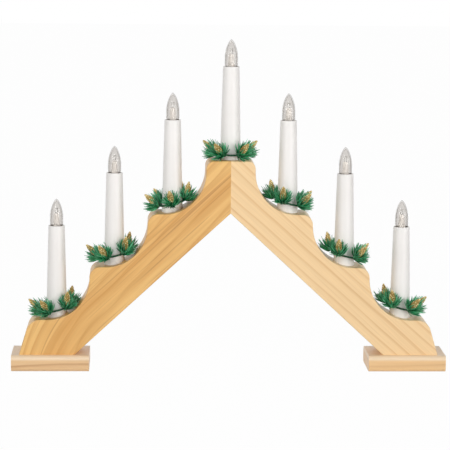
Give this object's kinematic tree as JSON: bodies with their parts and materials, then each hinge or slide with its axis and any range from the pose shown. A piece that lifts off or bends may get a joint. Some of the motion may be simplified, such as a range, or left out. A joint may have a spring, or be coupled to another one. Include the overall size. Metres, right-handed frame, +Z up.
{
  "type": "candle arch",
  "caption": "Stepped pine candle arch on two feet, with white candle tubes, clear screw-in lamps and small green wreaths with gold cones",
  "frame": {"origin": "middle of the ground area that the two feet cover, on the surface they stand on", "axes": "+X along the arch towards the right arm, +Y from front to back, +Z up"},
  "size_m": [0.4, 0.05, 0.305],
  "materials": {
    "left_arm_wood": "satin lacquered pine, warm orange",
    "right_arm_wood": "satin lacquered pine, pale",
    "foot_wood": "satin lacquered pine",
    "dowel_wood": "plain beech dowel",
    "zinc_steel": "bright zinc plate",
    "socket_plastic": "moulded white",
    "contact_brass": "plain stamped brass",
    "wire_insulation": "soft white insulation",
    "bush_plastic": "moulded off-white",
    "tube_plastic": "satin white",
    "lamp_glass": "clear, ribbed",
    "lamp_base_metal": "rolled screw shell",
    "lamp_tip_metal": "solder tip",
    "wreath_wire": "green coated wire",
    "needle_plastic": "cut green film",
    "cone_gold": "dull gold paint"
  },
  "bodies": {
    "arch": {"left_arm": "left_arm_wood", "right_arm": "right_arm_wood", "left_foot": "foot_wood", "right_foot": "foot_wood", "foot_screws": "zinc_steel", "mitre_dowels": "dowel_wood", "lamp_sockets": "socket_plastic", "socket_contacts": "contact_brass", "wire_loop": "wire_insulation", "inlet_bush": "bush_plastic", "candle_tube_1": "tube_plastic", "candle_tube_2": "tube_plastic", "candle_tube_3": "tube_plastic", "candle_tube_4": "tube_plastic", "candle_tube_5": "tube_plastic", "candle_tube_6": "tube_plastic", "candle_tube_7": "tube_plastic"},
    "lamp_foot_1": {"lamp_contact_1": "lamp_tip_metal"},
    "lamp_1": {"lamp_glass_1": "lamp_glass", "lamp_base_1": "lamp_base_metal"},
    "wreath_1": {"wreath_ring_1": "wreath_wire", "sprigs_1": "needle_plastic", "cones_1": "cone_gold"},
    "lamp_foot_2": {"lamp_contact_2": "lamp_tip_metal"},
    "lamp_2": {"lamp_glass_2": "lamp_glass", "lamp_base_2": "lamp_base_metal"},
    "wreath_2": {"wreath_ring_2": "wreath_wire", "sprigs_2": "needle_plastic", "cones_2": "cone_gold"},
    "lamp_foot_3": {"lamp_contact_3": "lamp_tip_metal"},
    "lamp_3": {"lamp_glass_3": "lamp_glass", "lamp_base_3": "lamp_base_metal"},
    "wreath_3": {"wreath_ring_3": "wreath_wire", "sprigs_3": "needle_plastic", "cones_3": "cone_gold"},
    "lamp_foot_4": {"lamp_contact_4": "lamp_tip_metal"},
    "lamp_4": {"lamp_glass_4": "lamp_glass", "lamp_base_4": "lamp_base_metal"},
    "wreath_4": {"wreath_ring_4": "wreath_wire", "sprigs_4": "needle_plastic", "cones_4": "cone_gold"},
    "lamp_foot_5": {"lamp_contact_5": "lamp_tip_metal"},
    "lamp_5": {"lamp_glass_5": "lamp_glass", "lamp_base_5": "lamp_base_metal"},
    "wreath_5": {"wreath_ring_5": "wreath_wire", "sprigs_5": "needle_plastic", "cones_5": "cone_gold"},
    "lamp_foot_6": {"lamp_contact_6": "lamp_tip_metal"},
    "lamp_6": {"lamp_glass_6": "lamp_glass", "lamp_base_6": "lamp_base_metal"},
    "wreath_6": {"wreath_ring_6": "wreath_wire", "sprigs_6": "needle_plastic", "cones_6": "cone_gold"},
    "lamp_foot_7": {"lamp_contact_7": "lamp_tip_metal"},
    "lamp_7": {"lamp_glass_7": "lamp_glass", "lamp_base_7": "lamp_base_metal"},
    "wreath_7": {"wreath_ring_7": "wreath_wire", "sprigs_7": "needle_plastic", "cones_7": "cone_gold"}
  },
  "joints": [
    {"name": "lamp_1_rise", "type": "slide", "parent": "arch", "child": "lamp_foot_1", "axis": [0, 0, 1], "range_m": [0, 0.0073]},
    {"name": "lamp_1_turn", "type": "hinge", "parent": "lamp_foot_1", "child": "lamp_1", "pos_m": [-0.159, -0.0015, 0], "axis": [0, 0, 1], "range_deg": [0, 1440]},
    {"name": "wreath_1_lift", "type": "slide", "parent": "arch", "child": "wreath_1", "axis": [0, 0, 1], "range_m": [0, 0.115]},
    {"name": "lamp_2_rise", "type": "slide", "parent": "arch", "child": "lamp_foot_2", "axis": [0, 0, 1], "range_m": [0, 0.0073]},
    {"name": "lamp_2_turn", "type": "hinge", "parent": "lamp_foot_2", "child": "lamp_2", "pos_m": [-0.106, -0.0015, 0], "axis": [0, 0, 1], "range_deg": [0, 1440]},
    {"name": "wreath_2_lift", "type": "slide", "parent": "arch", "child": "wreath_2", "axis": [0, 0, 1], "range_m": [0, 0.115]},
    {"name": "lamp_3_rise", "type": "slide", "parent": "arch", "child": "lamp_foot_3", "axis": [0, 0, 1], "range_m": [0, 0.0073]},
    {"name": "lamp_3_turn", "type": "hinge", "parent": "lamp_foot_3", "child": "lamp_3", "pos_m": [-0.053, -0.0015, 0], "axis": [0, 0, 1], "range_deg": [0, 1440]},
    {"name": "wreath_3_lift", "type": "slide", "parent": "arch", "child": "wreath_3", "axis": [0, 0, 1], "range_m": [0, 0.115]},
    {"name": "lamp_4_rise", "type": "slide", "parent": "arch", "child": "lamp_foot_4", "axis": [0, 0, 1], "range_m": [0, 0.0073]},
    {"name": "lamp_4_turn", "type": "hinge", "parent": "lamp_foot_4", "child": "lamp_4", "pos_m": [0, -0.0015, 0], "axis": [0, 0, 1], "range_deg": [0, 1440]},
    {"name": "wreath_4_lift", "type": "slide", "parent": "arch", "child": "wreath_4", "axis": [0, 0, 1], "range_m": [0, 0.115]},
    {"name": "lamp_5_rise", "type": "slide", "parent": "arch", "child": "lamp_foot_5", "axis": [0, 0, 1], "range_m": [0, 0.0073]},
    {"name": "lamp_5_turn", "type": "hinge", "parent": "lamp_foot_5", "child": "lamp_5", "pos_m": [0.053, -0.0015, 0], "axis": [0, 0, 1], "range_deg": [0, 1440]},
    {"name": "wreath_5_lift", "type": "slide", "parent": "arch", "child": "wreath_5", "axis": [0, 0, 1], "range_m": [0, 0.115]},
    {"name": "lamp_6_rise", "type": "slide", "parent": "arch", "child": "lamp_foot_6", "axis": [0, 0, 1], "range_m": [0, 0.0073]},
    {"name": "lamp_6_turn", "type": "hinge", "parent": "lamp_foot_6", "child": "lamp_6", "pos_m": [0.106, -0.0015, 0], "axis": [0, 0, 1], "range_deg": [0, 1440]},
    {"name": "wreath_6_lift", "type": "slide", "parent": "arch", "child": "wreath_6", "axis": [0, 0, 1], "range_m": [0, 0.115]},
    {"name": "lamp_7_rise", "type": "slide", "parent": "arch", "child": "lamp_foot_7", "axis": [0, 0, 1], "range_m": [0, 0.0073]},
    {"name": "lamp_7_turn", "type": "hinge", "parent": "lamp_foot_7", "child": "lamp_7", "pos_m": [0.159, -0.0015, 0], "axis": [0, 0, 1], "range_deg": [0, 1440]},
    {"name": "wreath_7_lift", "type": "slide", "parent": "arch", "child": "wreath_7", "axis": [0, 0, 1], "range_m": [0, 0.115]}
  ],
  "couplings": [
    {"joint": "lamp_1_rise", "follows": "lamp_1_turn", "m_per_rad": 0.00028871},
    {"joint": "lamp_2_rise", "follows": "lamp_2_turn", "m_per_rad": 0.00028871},
    {"joint": "lamp_3_rise", "follows": "lamp_3_turn", "m_per_rad": 0.00028871},
    {"joint": "lamp_4_rise", "follows": "lamp_4_turn", "m_per_rad": 0.00028871},
    {"joint": "lamp_5_rise", "follows": "lamp_5_turn", "m_per_rad": 0.00028871},
    {"joint": "lamp_6_rise", "follows": "lamp_6_turn", "m_per_rad": 0.00028871},
    {"joint": "lamp_7_rise", "follows": "lamp_7_turn", "m_per_rad": 0.00028871}
  ]
}
